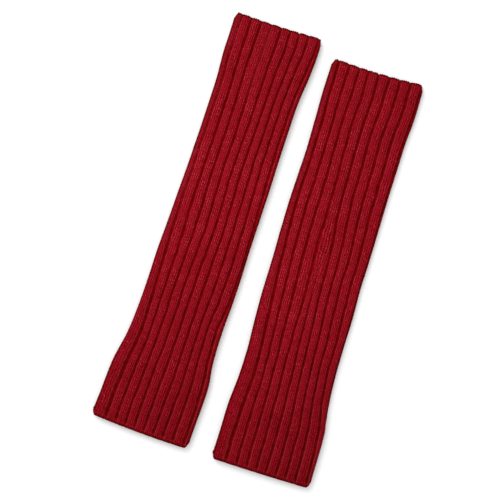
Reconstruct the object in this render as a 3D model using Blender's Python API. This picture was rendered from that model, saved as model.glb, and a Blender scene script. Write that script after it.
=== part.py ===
# A pair of leg warmers in wide rib knit, laid flat side by side.
#
# Each leg warmer is one seamless knitted tube. Lying flat it has a front layer and a back layer with a
# thin hollow between them, open at both cuffs. The ribs run from cuff to cuff. They are raised in the
# outer face of the tube and the inner face is plain. The underside rests flat on the table.
#
# All sizes below are in millimetres. The part is built in metres, with +Y along the legs, +X to the
# right and +Z up. The origin is on the table, under the middle of the pair.

from collections import namedtuple
import math

import bmesh
import bpy

METRES_PER_MM = 0.001

# Cloth
STACK_HEIGHT = 7.4          # two layers and the hollow between them
HOLLOW_HEIGHT = 1.0         # hollow inside the tube
MOUTH_HEIGHT = 1.8          # hollow at the cuff edge, where the layers part a little
SIDE_WALL = 3.1             # wall at the turned side, across the ribs
FRONT_GROOVE_DEPTH = 1.7
BACK_GROOVE_DEPTH = 1.2
DOME_POWER = 2.4            # higher is a flatter rib with a narrower groove
BACK_GROOVE_SHARE = 0.11    # half of a back groove's width, as a share of its rib

# Cuff edge
CORNER_RADIUS = 4.2         # round corner of the cuff, seen from above
CORNER_POWER = 2.3
SCALLOP = 0.7               # how far a groove draws the edge in behind the ribs

# Rows around the tube
FRONT_STEPS = (0.0, 0.10, 0.27, 0.5, 0.73, 0.90)
SIDE_STEPS = (0.0, 0.07, 0.17, 0.28, 0.39, 0.5, 0.61, 0.72, 0.83, 0.93)
BACK_STEPS = (0.0, BACK_GROOVE_SHARE, 1.0 - BACK_GROOVE_SHARE)
INNER_FLAT_STEPS = 6
INNER_FOLD_STEPS = 5

# Rings along the tube: even steps, and a few closer ones near each cuff edge. There the outer face is
# drawn in to a round lip, and the inner face opens from the hollow's height to the mouth's.
OUTER_SPACING = 17.0
INNER_SPACING = 42.0
EdgeRing = namedtuple("EdgeRing", "from_edge amount")
LIP_DRAWN_IN = (EdgeRing(0.0, 1.0), EdgeRing(0.5, 0.35), EdgeRing(1.7, 0.0))
MOUTH_OPENING = (EdgeRing(0.0, 1.0), EdgeRing(3.0, 0.4), EdgeRing(9.0, 0.0))

# One row for each measured section. The station is the distance along the leg from its middle, and the
# other columns are distances across it: the two outlines, then the front grooves from left to right. A
# last groove that lies past the right outline has turned under.
Section = namedtuple("Section", "station left right grooves")

# Where the cuff edge runs: its distance from the middle of the leg, its slope and its bow.
EdgeLine = namedtuple("EdgeLine", "middle slope bow")

# A groove that fades out on the way up: which one, and the stations where it is full and gone.
FadingGroove = namedtuple("FadingGroove", "index full_at gone_at")

# Where each leg lies and leans, and how its back differs from its front: the number of whole ribs on the
# underside, and how far each side rib runs on under its fold.
Leg = namedtuple("Leg", "name place_x place_y lean_deg lower_edge upper_edge sections "
                        "back_ribs left_under right_under fading")

DEEP_RED = (0.216, 0.010, 0.016)
YARN_ROUGHNESS = 0.95
SHARP_EDGE = math.radians(50.0)

LEFT_SECTIONS = (
    Section(-210, -49.9, 47.5, (-39.0, -28.5, -18.5, -8.8, 1.2, 11.5, 21.2, 31.5, 43.0)),
    Section(-190, -52.2, 49.0, (-38.5, -28.3, -18.4, -8.7, 1.3, 11.6, 21.4, 31.9, 43.6)),
    Section(-150, -50.1, 49.4, (-36.5, -27.0, -17.0, -8.3, 2.0, 12.8, 22.5, 32.0, 43.0)),
    Section(-120, -45.4, 45.9, (-33.2, -24.9, -16.0, -7.0, 2.8, 12.5, 21.8, 30.2, 39.8)),
    Section(-90, -43.4, 44.6, (-33.0, -24.8, -15.8, -6.5, 2.5, 12.2, 21.2, 29.2, 38.0)),
    Section(-60, -43.1, 44.9, (-34.5, -25.2, -16.0, -6.8, 2.5, 12.2, 22.0, 31.0, 41.0)),
    Section(-30, -43.5, 44.6, (-35.8, -25.0, -16.0, -6.5, 2.5, 12.2, 22.2, 31.5, 41.8)),
    Section(0, -42.9, 43.7, (-37.0, -25.8, -15.5, -5.5, 3.5, 12.5, 21.8, 30.8, 41.2)),
    Section(30, -42.6, 43.4, (-37.5, -27.2, -16.5, -6.5, 2.8, 11.8, 20.8, 29.8, 39.5)),
    Section(60, -42.2, 43.2, (-37.5, -27.2, -17.5, -8.0, 1.2, 10.2, 19.8, 28.2, 37.8)),
    Section(90, -42.2, 42.4, (-38.0, -27.2, -17.8, -8.0, 1.2, 9.8, 18.8, 27.2, 36.5)),
    Section(120, -42.5, 42.0, (-38.0, -27.5, -17.8, -8.2, 1.8, 10.2, 18.8, 26.8, 35.8)),
    Section(150, -43.1, 41.9, (-38.5, -28.2, -19.0, -9.5, 1.5, 10.2, 18.5, 26.8, 35.8)),
    Section(180, -45.1, 43.9, (-39.8, -29.5, -19.8, -10.0, 1.2, 10.5, 20.0, 28.2, 38.2)),
    Section(200, -45.4, 44.7, (-40.6, -29.7, -19.6, -9.6, 1.4, 11.5, 20.8, 29.8, 40.2)),
    Section(220, -45.5, 43.6, (-39.5, -30.0, -20.0, -9.8, 1.2, 10.8, 20.2, 29.2, 40.0)),
)

RIGHT_SECTIONS = (
    Section(-207, -48.7, 50.5, (-36.2, -25.0, -14.8, -5.0, 5.2, 15.5, 25.5, 35.5, 47.8, 54.2)),
    Section(-180, -49.7, 51.5, (-36.0, -25.2, -15.0, -4.6, 5.4, 15.8, 25.5, 35.4, 46.8, 54.0)),
    Section(-150, -49.3, 51.2, (-35.2, -25.2, -15.0, -5.2, 5.2, 15.2, 24.8, 34.0, 44.8, 52.2)),
    Section(-120, -47.0, 47.4, (-33.0, -24.5, -15.2, -5.5, 4.2, 13.0, 21.8, 30.5, 39.8, 46.4)),
    Section(-90, -46.3, 45.6, (-33.2, -25.0, -16.0, -6.5, 2.8, 11.2, 20.0, 28.2, 36.8, 44.2)),
    Section(-60, -47.5, 45.6, (-35.2, -26.5, -17.2, -6.8, 1.2, 9.8, 18.8, 27.5, 36.8, 44.6)),
    Section(-30, -48.1, 45.8, (-37.0, -27.8, -18.2, -6.5, 0.2, 8.0, 16.8, 26.0, 35.5, 44.2)),
    Section(0, -47.6, 45.1, (-39.0, -29.2, -19.2, -7.5, -1.2, 6.8, 16.0, 25.0, 34.5, 44.0)),
    Section(30, -47.7, 45.7, (-40.0, -30.0, -20.0, -8.8, -1.8, 6.0, 15.5, 25.5, 34.8, 44.4)),
    Section(60, -47.6, 45.8, (-41.0, -30.5, -19.8, -8.5, -2.9, 2.6, 13.2, 23.2, 33.4, 44.2)),
    Section(90, -46.6, 45.9, (-40.2, -29.6, -19.5, -8.5, -3.4, 1.5, 11.9, 22.6, 33.0, 44.2)),
    Section(120, -45.5, 46.4, (-39.2, -29.0, -19.5, -9.2, -4.0, 1.2, 11.8, 22.9, 33.2, 44.4)),
    Section(150, -45.7, 47.0, (-39.2, -28.9, -19.8, -9.8, -4.4, 1.0, 11.3, 22.5, 33.0, 44.6)),
    Section(180, -46.0, 48.8, (-39.8, -29.0, -18.5, -8.3, -2.9, 2.5, 13.2, 24.5, 35.4, 43.4)),
    Section(211, -45.2, 48.8, (-39.8, -28.5, -18.0, -8.2, -3.0, 2.0, 13.2, 24.2, 35.0, 43.8)),
)

LEGS = (
    Leg(name="left_leg_warmer", place_x=-57.62, place_y=-4.01, lean_deg=-1.3,
        lower_edge=EdgeLine(middle=-209.7, slope=-0.021, bow=0.0005),
        upper_edge=EdgeLine(middle=219.1, slope=0.020, bow=0.0006),
        sections=LEFT_SECTIONS, back_ribs=8, left_under=3.0, right_under=3.0, fading=None),
    Leg(name="right_leg_warmer", place_x=58.28, place_y=-9.71, lean_deg=1.3,
        lower_edge=EdgeLine(middle=-206.5, slope=-0.018, bow=0.0002),
        upper_edge=EdgeLine(middle=210.5, slope=-0.012, bow=0.0008),
        sections=RIGHT_SECTIONS, back_ribs=9, left_under=2.0, right_under=10.0,
        fading=FadingGroove(index=4, full_at=-62.0, gone_at=36.0)),
)


def smooth_through(stations, values, station):
    """The value at a station on a smooth curve through a column of the section table."""
    last = len(stations) - 2
    row = 0
    while row < last and station > stations[row + 1]:
        row += 1
    before, after = max(row - 1, 0), min(row + 2, last + 1)
    span = stations[row + 1] - stations[row]
    share = min(max((station - stations[row]) / span, 0.0), 1.0)
    slope_in = (values[row + 1] - values[before]) / (stations[row + 1] - stations[before]) * span
    slope_out = (values[after] - values[row]) / (stations[after] - stations[row]) * span
    square, cube = share ** 2, share ** 3
    return ((2 * cube - 3 * square + 1) * values[row] + (cube - 2 * square + share) * slope_in
            + (3 * square - 2 * cube) * values[row + 1] + (cube - square) * slope_out)


def section_at(leg, station):
    """Outlines and front grooves at any station along the leg."""
    stations = [section.station for section in leg.sections]
    columns = zip(*((section.left, section.right) + section.grooves for section in leg.sections))
    left, right, *grooves = [smooth_through(stations, column, station) for column in columns]
    return Section(station, left, right, grooves)


class Stadium:
    """A long flat loop: two straight layers joined by a half round fold at each side.

    A place on it is measured along the loop from the outermost point of the left fold, over the front
    and back under."""

    def __init__(self, left, right, radius, base):
        self.left, self.right, self.radius, self.base = left, right, radius, base
        self.quarter = 0.5 * math.pi * radius
        self.flat = right - left - 2.0 * radius
        self.half = 2.0 * self.quarter + self.flat

    def run_from_fold(self, inward):
        """Distance along the loop from a fold's outermost point to a point this far in from it."""
        if inward <= 0.0:
            return inward
        if inward >= self.radius:
            return self.quarter + inward - self.radius
        return self.radius * math.acos(1.0 - inward / self.radius)

    def place_of(self, across):
        """Where a front point at this distance across the leg lies along the loop."""
        if across < 0.5 * (self.left + self.right):
            return self.run_from_fold(across - self.left)
        return self.half - self.run_from_fold(self.right - across)

    def point(self, place):
        """Across, up, and the outward normal, at a place along the loop."""
        place %= 2.0 * self.half
        under = place > self.half
        along = 2.0 * self.half - place if under else place
        side = -1.0 if under else 1.0
        if along < self.quarter:
            angle, centre = math.pi - along / self.radius, self.left + self.radius
        elif along > self.half - self.quarter:
            angle, centre = (self.half - along) / self.radius, self.right - self.radius
        else:
            angle, centre = 0.5 * math.pi, self.left + self.radius + along - self.quarter
        normal = (math.cos(angle), side * math.sin(angle))
        middle = self.base + self.radius
        return centre + self.radius * normal[0], middle + self.radius * normal[1], normal


def dome(share):
    """Height of a rib across its width, from 0 in a groove to 1 on the crest."""
    return math.sqrt(max(0.0, 1.0 - abs(2.0 * share - 1.0) ** DOME_POWER))


def flat_rib(share):
    """Height of a rib that rests on the table: a flat face between two grooves."""
    return min(1.0, min(share, 1.0 - share) / BACK_GROOVE_SHARE)


def front_rib(leg, station, grooves, k, place):
    """Height of the front's rib k at a place on it. Where a groove fades out, the ribs on either side of
    it grow together into one."""
    height = dome((place - grooves[k]) / (grooves[k + 1] - grooves[k]))
    fading = leg.fading
    if fading is None or k not in (fading.index - 1, fading.index):
        return height
    left, right = grooves[fading.index - 1], grooves[fading.index + 1]
    whole = dome((place - left) / (right - left))
    share = min(max((fading.gone_at - station) / (fading.gone_at - fading.full_at), 0.0), 1.0)
    strength = share * share * (3.0 - 2.0 * share)
    return whole + (height - whole) * strength


OuterPoint = namedtuple("OuterPoint", "across up normal depth")


def outer_profile(leg, station):
    """Points on the smooth loop at one station, with how deep the ribbed face lies below each."""
    section = section_at(leg, station)
    loop = Stadium(section.left, section.right, 0.5 * STACK_HEIGHT, 0.0)
    front = [loop.place_of(groove) for groove in section.grooves]
    if section.grooves[-1] > section.right:
        front[-1] = loop.half + section.grooves[-1] - section.right
    back_start = loop.half + leg.right_under
    back_end = 2.0 * loop.half - leg.left_under
    back = [back_start + (back_end - back_start) * k / leg.back_ribs for k in range(leg.back_ribs + 1)]
    grooves = front + back
    points = []
    for k, start in enumerate(grooves):
        end = grooves[(k + 1) % len(grooves)]
        if k + 1 == len(grooves):
            end += 2.0 * loop.half
        at_front, at_back = k < len(front) - 1, len(front) <= k < len(grooves) - 1
        steps = FRONT_STEPS if at_front else BACK_STEPS if at_back else SIDE_STEPS
        for share in steps:
            place = start + (end - start) * share
            across, up, normal = loop.point(place)
            underside = max(0.0, -normal[1])
            groove_depth = FRONT_GROOVE_DEPTH + (BACK_GROOVE_DEPTH - FRONT_GROOVE_DEPTH) * underside
            rib = front_rib(leg, station, grooves, k, place) if at_front else dome(share)
            rib += (flat_rib(share) - rib) * underside
            points.append(OuterPoint(across, up, normal, groove_depth * (1.0 - rib)))
    return points


def inner_profile(leg, station, height):
    """Points of the plain inner face at one station, as (across, up)."""
    section = section_at(leg, station)
    radius = 0.5 * height
    loop = Stadium(section.left + SIDE_WALL, section.right - SIDE_WALL, radius,
                   0.5 * STACK_HEIGHT - radius)
    flat_places = [loop.quarter + loop.flat * k / INNER_FLAT_STEPS for k in range(INNER_FLAT_STEPS + 1)]
    fold = [2.0 * loop.quarter * k / INNER_FOLD_STEPS for k in range(1, INNER_FOLD_STEPS)]
    places = (flat_places + [loop.half - loop.quarter + run for run in fold]
              + [loop.half + place for place in flat_places]
              + [2.0 * loop.half - loop.quarter + run for run in fold])
    return [loop.point(place)[:2] for place in places]


def edge_station(leg, line, across, section):
    """Where the cuff edge lies along the leg, at a distance across it, with its round corners."""
    inward = min(across - section.left, section.right - across)
    short = max(0.0, 1.0 - inward / CORNER_RADIUS)
    corner = CORNER_RADIUS * (1.0 - (1.0 - min(short, 1.0) ** CORNER_POWER) ** (1.0 / CORNER_POWER))
    station = line.middle + line.slope * across + line.bow * across ** 2
    return station - math.copysign(corner, line.middle)


def ring_plan(leg, spacing, edge_rings):
    """(station, amount) of each ring, from the lower cuff to the upper one."""
    low, high = leg.lower_edge.middle, leg.upper_edge.middle
    first, last = low + edge_rings[-1].from_edge, high - edge_rings[-1].from_edge
    steps = round((last - first) / spacing)
    body = [(first + (last - first) * k / steps, 0.0) for k in range(1, steps)]
    return ([(low + ring.from_edge, ring.amount) for ring in edge_rings] + body
            + [(high - ring.from_edge, ring.amount) for ring in reversed(edge_rings)])


def placed(leg, station, across, up, pull_in=0.0):
    """A point of the leg, with its station moved so that the end rings follow the cuff edges."""
    low, high = leg.lower_edge, leg.upper_edge
    low_edge = edge_station(leg, low, across, section_at(leg, low.middle)) + pull_in
    high_edge = edge_station(leg, high, across, section_at(leg, high.middle)) - pull_in
    share = (station - low.middle) / (high.middle - low.middle)
    along = low_edge + (high_edge - low_edge) * share
    return (across * METRES_PER_MM, along * METRES_PER_MM, up * METRES_PER_MM)


def outer_rings(leg):
    """Rings of the ribbed outer face."""
    rings = []
    for station, drawn_in in ring_plan(leg, OUTER_SPACING, LIP_DRAWN_IN):
        ring = []
        for point in outer_profile(leg, station):
            inset = max(point.depth, drawn_in)
            across = point.across - inset * point.normal[0]
            up = point.up - inset * point.normal[1]
            ring.append(placed(leg, station, across, up, SCALLOP * point.depth / FRONT_GROOVE_DEPTH))
        rings.append(ring)
    return rings


def inner_rings(leg):
    """Rings of the plain inner face."""
    rings = []
    for station, opening in ring_plan(leg, INNER_SPACING, MOUTH_OPENING):
        height = HOLLOW_HEIGHT + (MOUTH_HEIGHT - HOLLOW_HEIGHT) * opening
        rings.append([placed(leg, station, across, up)
                      for across, up in inner_profile(leg, station, height)])
    return rings


def loft(mesh, rings):
    """Joins neighbouring rings with faces, and gives the edges round the first ring and the last."""
    rows = [[mesh.verts.new(point) for point in ring] for ring in rings]
    for lower, upper in zip(rows, rows[1:]):
        for k in range(len(lower)):
            mesh.faces.new((lower[k - 1], lower[k], upper[k], upper[k - 1]))
    return [[mesh.edges.get((row[k - 1], row[k])) for k in range(len(row))] for row in (rows[0], rows[-1])]


def tube_mesh(leg):
    """The ribbed outer face and the plain inner face, joined round each cuff edge."""
    shape = bmesh.new()
    outer_ends = loft(shape, outer_rings(leg))
    inner_ends = loft(shape, inner_rings(leg))
    for outer_end, inner_end in zip(outer_ends, inner_ends):
        bmesh.ops.bridge_loops(shape, edges=outer_end + inner_end)
    bmesh.ops.recalc_face_normals(shape, faces=shape.faces)

    mesh = bpy.data.meshes.new(leg.name)
    shape.to_mesh(mesh)
    shape.free()
    mesh.shade_smooth()
    mesh.set_sharp_from_angle(angle=SHARP_EDGE)
    return mesh


def knit_material(leg):
    material = bpy.data.materials.new(leg.name + "_yarn")
    material.use_nodes = True
    shader = material.node_tree.nodes["Principled BSDF"]
    shader.inputs["Base Color"].default_value = (*DEEP_RED, 1.0)
    shader.inputs["Roughness"].default_value = YARN_ROUGHNESS
    shader.inputs["Metallic"].default_value = 0.0
    return material


def build_leg_warmer(leg, pair):
    mesh = tube_mesh(leg)
    mesh.materials.append(knit_material(leg))
    warmer = bpy.data.objects.new(leg.name, mesh)
    warmer.location = (leg.place_x * METRES_PER_MM, leg.place_y * METRES_PER_MM, 0.0)
    warmer.rotation_euler = (0.0, 0.0, math.radians(leg.lean_deg))
    warmer.parent = pair
    bpy.context.scene.collection.objects.link(warmer)


def build_pair():
    for old in list(bpy.data.objects):
        bpy.data.objects.remove(old, do_unlink=True)
    pair = bpy.data.objects.new("leg_warmer_pair", None)
    bpy.context.scene.collection.objects.link(pair)
    for leg in LEGS:
        build_leg_warmer(leg, pair)


build_pair()
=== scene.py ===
# A pair of leg warmers in wide rib knit, laid flat on a white table: camera, knitting, yarn and light.

import functools
import math

import bpy
import numpy as np
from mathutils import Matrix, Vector


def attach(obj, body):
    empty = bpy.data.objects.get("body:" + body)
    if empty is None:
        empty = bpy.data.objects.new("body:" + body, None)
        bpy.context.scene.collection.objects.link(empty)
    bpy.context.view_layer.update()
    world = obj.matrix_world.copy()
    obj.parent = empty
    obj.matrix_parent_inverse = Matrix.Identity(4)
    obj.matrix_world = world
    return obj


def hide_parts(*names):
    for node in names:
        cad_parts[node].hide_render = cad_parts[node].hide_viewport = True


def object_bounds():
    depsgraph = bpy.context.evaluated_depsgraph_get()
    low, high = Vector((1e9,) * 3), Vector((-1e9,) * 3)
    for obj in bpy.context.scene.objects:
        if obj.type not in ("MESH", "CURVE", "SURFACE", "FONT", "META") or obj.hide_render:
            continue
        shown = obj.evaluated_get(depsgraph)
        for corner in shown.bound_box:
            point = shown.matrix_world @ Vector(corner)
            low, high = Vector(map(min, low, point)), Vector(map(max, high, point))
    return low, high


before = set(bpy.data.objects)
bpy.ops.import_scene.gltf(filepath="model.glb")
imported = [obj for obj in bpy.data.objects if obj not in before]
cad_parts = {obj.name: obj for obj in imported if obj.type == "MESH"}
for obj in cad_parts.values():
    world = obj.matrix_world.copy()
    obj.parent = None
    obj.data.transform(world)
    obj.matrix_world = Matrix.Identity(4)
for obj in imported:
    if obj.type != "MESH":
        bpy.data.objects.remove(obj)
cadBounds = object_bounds()
scene = bpy.context.scene
mm = 0.001


def linear(hexColour):
    # an sRGB hex value as the linear colour that a shader takes
    parts = [int(hexColour[i:i + 2], 16) / 255 for i in (1, 3, 5)]
    return tuple(p / 12.92 if p <= 0.04045 else ((p + 0.055) / 1.055) ** 2.4 for p in parts) + (1.0,)


def addNode(tree, kind, inputs=None, **settings):
    # adds a node, sets it and links it; an input is a value, a socket or a node's first output
    node = tree.nodes.new(kind)
    for name, value in settings.items():
        setattr(node, name, value)
    for socket, value in (inputs or {}).items():
        value = value.outputs[0] if isinstance(value, bpy.types.Node) else value
        if isinstance(value, bpy.types.NodeSocket):
            tree.links.new(value, node.inputs[socket])
        else:
            node.inputs[socket].default_value = value
    return node


# Camera: straight above the pair, turned as the photo is. One pixel of the photo shows 1 mm.
cameraSet = {
    "over": (-0.0136, -0.0060),     # what lies at the middle of the picture
    "turn": 17.66,                  # degrees; the legs lean to the right in the picture
    "widthSeen": 0.5,
    "lens": 100.0,
    "sensor": 36.0,
}


def placeCamera(s):
    data = bpy.data.cameras.new("copyStandCamera")
    data.lens, data.sensor_width = s["lens"], s["sensor"]
    camera = bpy.data.objects.new("copyStandCamera", data)
    clothMiddle = 0.5 * (cadBounds[0][2] + cadBounds[1][2])
    distance = s["widthSeen"] * s["lens"] / s["sensor"]
    camera.location = (*s["over"], clothMiddle + distance)
    camera.rotation_euler = (0.0, 0.0, math.radians(s["turn"]))
    scene.collection.objects.link(camera)
    scene.camera = camera
    print("camera placed", round(distance, 3), "m above the cloth")


placeCamera(cameraSet)


# The two legs as they lie, in mm. "Along" is how far along the leg.
# sections: along, the left and right outlines, then the grooves from left to right; the right leg's last
#   groove has turned under in its lower cuff
# lowerEdge, upperEdge: how far from the leg's middle, slope and bow
# swell: how far outside the left and right outlines the smooth tube lies, as the stitches draw it in
# grooveShift: in this light a groove's dark lies left of its bottom, so the bottom is laid this far right
# fading: the groove that closes on the way up, where it is whole and where it is gone
# faint: the front grooves that aren't as deep all the way, each along and how deep
# tone: along, and how much lighter the wool is; it is darker towards the cuffs, most at the lower one
# toneTilt: how much lighter it is for each mm to the right
# folds: the shade along the left and right outlines, in mm from them: yarn down to, groove dark from, how
#   far the darker rim reaches, and its share
# leftFoldWide: along, and how much wider the left fold's shade is
# troughs: soft dips and swells, each along, across, half length, half width, turn in degrees, rise, and
#   1 for the face or -1 for the underside
leftLeg = {
    "node": "left_leg_warmer",
    "place": (-57.62, -4.01), "lean": -1.3,
    "lowerEdge": (-209.5, -0.021, 0.0005), "upperEdge": (219.2, 0.020, 0.0006),
    "swell": (0.58, 0.4), "grooveShift": 0.5, "fading": None,
    "backRibs": 8, "leftUnder": 3.0, "rightUnder": 3.0,     # how far under the folds these ribs begin
    "faint": {
        0: ((-80, 1.0), (0, 0.75), (50, 0.55), (160, 0.55), (200, 0.4)),
        3: ((100, 1.0), (140, 0.75), (165, 0.45), (200, 0.4)),
    },
    "tone": (
        (-210, -0.13), (-170, -0.10), (-130, -0.05), (-90, 0.0), (-40, 0.03), (10, 0.07), (60, 0.09),
        (110, 0.05), (160, 0.01), (220, 0.0),
    ),
    "toneTilt": -0.0005,
    "folds": ((2.4, 0.75, 2.4, 0.72), (4.0, 0.7, 0.5, 1.0)), "leftFoldWide": ((-150, 1.6), (-115, 1.0)),
    "troughs": (
        (150.0, -12.0, 46.0, 16.0, 6.0, -0.45, 1),
        (60.0, 20.0, 60.0, 14.0, -4.0, 0.35, 1),
        (-20.0, -22.0, 52.0, 15.0, 3.0, -0.35, 1),
        (-92.0, 6.0, 34.0, 26.0, 18.0, -0.5, 1),
        (-160.0, -10.0, 36.0, 22.0, -8.0, 0.35, 1),
        (110.0, 8.0, 40.0, 14.0, -6.0, 0.35, -1),
        (-70.0, -10.0, 44.0, 16.0, 8.0, 0.4, -1),
    ),
    "sections": (
        (-210, -52.6, 48.9, -39.0, -28.5, -18.5, -8.8, 1.2, 11.5, 21.2, 31.5, 43.0),
        (-190, -51.7, 49.2, -38.5, -28.3, -18.4, -8.7, 1.3, 11.6, 21.4, 31.9, 43.6),
        (-150, -50.1, 49.4, -36.5, -27.0, -17.0, -8.3, 2.0, 12.8, 22.5, 32.0, 43.0),
        (-120, -45.4, 45.9, -33.2, -24.9, -16.0, -7.0, 2.8, 12.5, 21.8, 30.2, 39.8),
        (-90, -43.4, 44.6, -33.0, -24.8, -15.8, -6.5, 2.5, 12.2, 21.2, 29.2, 38.0),
        (-60, -43.1, 44.9, -34.5, -25.2, -16.0, -6.8, 2.5, 12.2, 22.0, 31.0, 41.0),
        (-30, -43.5, 44.6, -35.8, -25.0, -16.0, -6.5, 2.5, 12.2, 22.2, 31.5, 41.8),
        (0, -42.9, 43.7, -37.0, -25.8, -15.5, -5.5, 3.5, 12.5, 21.8, 30.8, 41.2),
        (30, -42.6, 43.4, -37.5, -27.2, -16.5, -6.5, 2.8, 11.8, 20.8, 29.8, 39.5),
        (60, -42.2, 43.2, -37.5, -27.2, -17.5, -8.0, 1.2, 10.2, 19.8, 28.2, 37.8),
        (90, -42.2, 42.4, -38.0, -27.2, -17.8, -8.0, 1.2, 9.8, 18.8, 27.2, 36.5),
        (120, -42.5, 42.0, -38.0, -27.5, -17.8, -8.2, 1.8, 10.2, 18.8, 26.8, 35.8),
        (150, -43.1, 41.9, -38.5, -28.2, -19.0, -9.5, 1.5, 10.2, 18.5, 26.8, 35.8),
        (180, -45.1, 43.9, -39.8, -29.5, -19.8, -10.0, 1.2, 10.5, 20.0, 28.2, 38.2),
        (200, -45.4, 44.7, -40.6, -29.7, -19.6, -9.6, 1.4, 11.5, 20.8, 29.8, 40.2),
        (220, -45.9, 44.2, -39.5, -30.0, -20.0, -9.8, 1.2, 10.8, 20.2, 29.2, 40.0),
    ),
}
rightLeg = {
    "node": "right_leg_warmer",
    "place": (58.28, -9.71), "lean": 1.3,
    "lowerEdge": (-206.3, -0.018, 0.0002), "upperEdge": (210.4, -0.012, 0.0008),
    "swell": (0.9, 0.58), "grooveShift": 0.15, "fading": {"groove": 4, "fullAt": -62.0, "goneAt": 36.0},
    "backRibs": 9, "leftUnder": 2.0, "rightUnder": 10.0,
    "faint": {},
    "tone": (
        (-210, -0.17), (-170, -0.12), (-130, -0.08), (-90, -0.03), (-40, 0.01), (10, 0.03), (60, 0.03),
        (110, 0.02), (160, 0.0), (220, -0.03),
    ),
    "toneTilt": -0.0009,
    "folds": ((2.6, 0.8, 3.2, 0.68), (1.5, 0.17, 0.5, 1.0)),
    "leftFoldWide": ((-150, 1.6), (-60, 1.5), (-10, 1.0)),
    "troughs": (
        (140.0, 18.0, 40.0, 18.0, -8.0, -0.4, 1),
        (20.0, -8.0, 70.0, 9.0, 1.0, -0.7, 1),
        (-20.0, 26.0, 48.0, 14.0, 5.0, 0.35, 1),
        (-104.0, -12.0, 30.0, 26.0, -16.0, -0.5, 1),
        (-165.0, 14.0, 34.0, 20.0, 6.0, 0.3, 1),
        (90.0, -12.0, 42.0, 15.0, 5.0, 0.35, -1),
        (-60.0, 12.0, 46.0, 16.0, -8.0, 0.4, -1),
    ),
    "sections": (
        (-207, -50.2, 51.5, -36.2, -25.0, -14.8, -5.0, 5.2, 15.5, 25.5, 35.5, 47.8, 54.2),
        (-180, -49.6, 51.7, -36.0, -25.2, -15.0, -4.6, 5.4, 15.8, 25.5, 35.4, 46.8, 54.0),
        (-150, -49.3, 51.2, -35.2, -25.2, -15.0, -5.2, 5.2, 15.2, 24.8, 34.0, 44.8, 52.2),
        (-120, -47.0, 47.4, -33.0, -24.5, -15.2, -5.5, 4.2, 13.0, 21.8, 30.5, 39.8, 47.2),
        (-90, -46.3, 45.6, -33.2, -25.0, -16.0, -6.5, 2.8, 11.2, 20.0, 28.2, 36.8, 45.0),
        (-60, -47.5, 45.6, -35.2, -26.5, -17.2, -6.8, 1.2, 9.8, 18.8, 27.5, 36.8, 45.2),
        (-30, -48.1, 45.8, -37.0, -27.8, -18.2, -6.5, 0.2, 8.0, 16.8, 26.0, 35.5, 45.0),
        (0, -47.6, 45.1, -39.0, -29.2, -19.2, -7.5, -1.2, 6.8, 16.0, 25.0, 34.5, 44.5),
        (30, -47.7, 45.7, -40.0, -30.0, -20.0, -8.8, -1.8, 6.0, 15.5, 25.5, 34.8, 44.9),
        (60, -47.6, 45.8, -41.0, -30.5, -19.8, -8.5, -2.9, 2.6, 13.2, 23.2, 33.4, 44.7),
        (90, -46.6, 45.9, -40.2, -29.6, -19.5, -8.5, -3.4, 1.5, 11.9, 22.6, 33.0, 44.6),
        (120, -45.5, 46.4, -39.2, -29.0, -19.5, -9.2, -4.0, 1.2, 11.8, 22.9, 33.2, 44.8),
        (150, -45.7, 47.0, -39.2, -28.9, -19.8, -9.8, -4.4, 1.0, 11.3, 22.5, 33.0, 45.1),
        (180, -46.0, 48.8, -39.8, -29.0, -18.5, -8.3, -2.9, 2.5, 13.2, 24.5, 35.4, 46.8),
        (211, -45.2, 48.8, -39.8, -28.5, -18.0, -8.2, -3.0, 2.0, 13.2, 24.2, 35.0, 46.8),
    ),
}

# Knitting, in mm. A rib is four knit wales and, in its groove, one purl wale. A cuff's grooves: how much
# of them is left at its edge, how far that reaches, where they are whole, and how far they draw it in.
knitSet = {
    "stackHeight": 7.4,                     # two layers of cloth
    "hollow": 1.0, "mouth": 1.8, "mouthDeep": 9.0,          # between them, and at a cuff
    "waleWidth": 1.95, "courseLength": 3.1,
    "ribWales": 5, "purlShare": 0.2,        # how much of a rib its purl wale takes
    "cornerRadius": 4.2, "cornerPower": 2.3,
    "lipBulge": 0.2,                        # how far the round cuff edge stands out
    "lowerCuff": (0.08, 2.4, 5.4, 0.15), "upperCuff": (0.4, 0.5, 6.0, 1.25),
    "lowerLine": (1.7, 3.2), "upperLine": (0.9, 2.4),       # a cuff edge's painted dark line of shade: whole to, gone at
    "rimWide": 1.1,                         # and the painted darker rim outside it
    "straightTo": -175.0, "slantGrows": 60.0, "cuffSlant": 0.5,     # the Vs slant less in the lower cuff
    "grooveWander": 0.3,                    # how far a groove strays sideways, in a few waves
    "wanderWaves": 3, "wanderLength": (16.0, 60.0),
    "depthTurn": (0.3, 0.4),    # where on a rib one groove's depth starts to turn to the next one's, how long
    "chainDeep": 1.5, "chainOut": (-0.55, 0.1),             # the edge chain: how far below the face, and out
    "chainEvery": 2.05,
    "seed": 7,
}
reliefSet = {
    "Groove depth": 2.2 * mm,
    "Underside groove depth": 1.2 * mm,
    "Rib roundness": 2.1,                   # higher is a flatter rib with a narrower groove
    "Underside groove share": 0.11,
    "Stitch height": 0.32 * mm,
    "Stitch sink": 0.14 * mm,
    "Right lobe": 0.55,                     # heights as shares of the stitch height, from here
    "Course gap": 0.75,
    "V middle": 0.35,
    "Purl bump": 0.5,
    "Cuff edge": 0.4,
    "V slant": 1.6 * mm,
    "V fade": 3.0 * mm,                     # the Vs end straight at a cuff edge
    "Lip depth": 1.2 * mm,
    "Lip width": 2.2 * mm,
    "Unevenness": 0.2 * mm,
    "Uneven size": 5.0 * mm,
}
rowsPerCourse = 3
knitSteps = (0.0, 0.33, 0.67)               # columns in a knit wale: its edge, left lobe and right lobe
backSteps = (0.0,)                          # one on the underside, where the lobes are pressed flat
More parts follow.
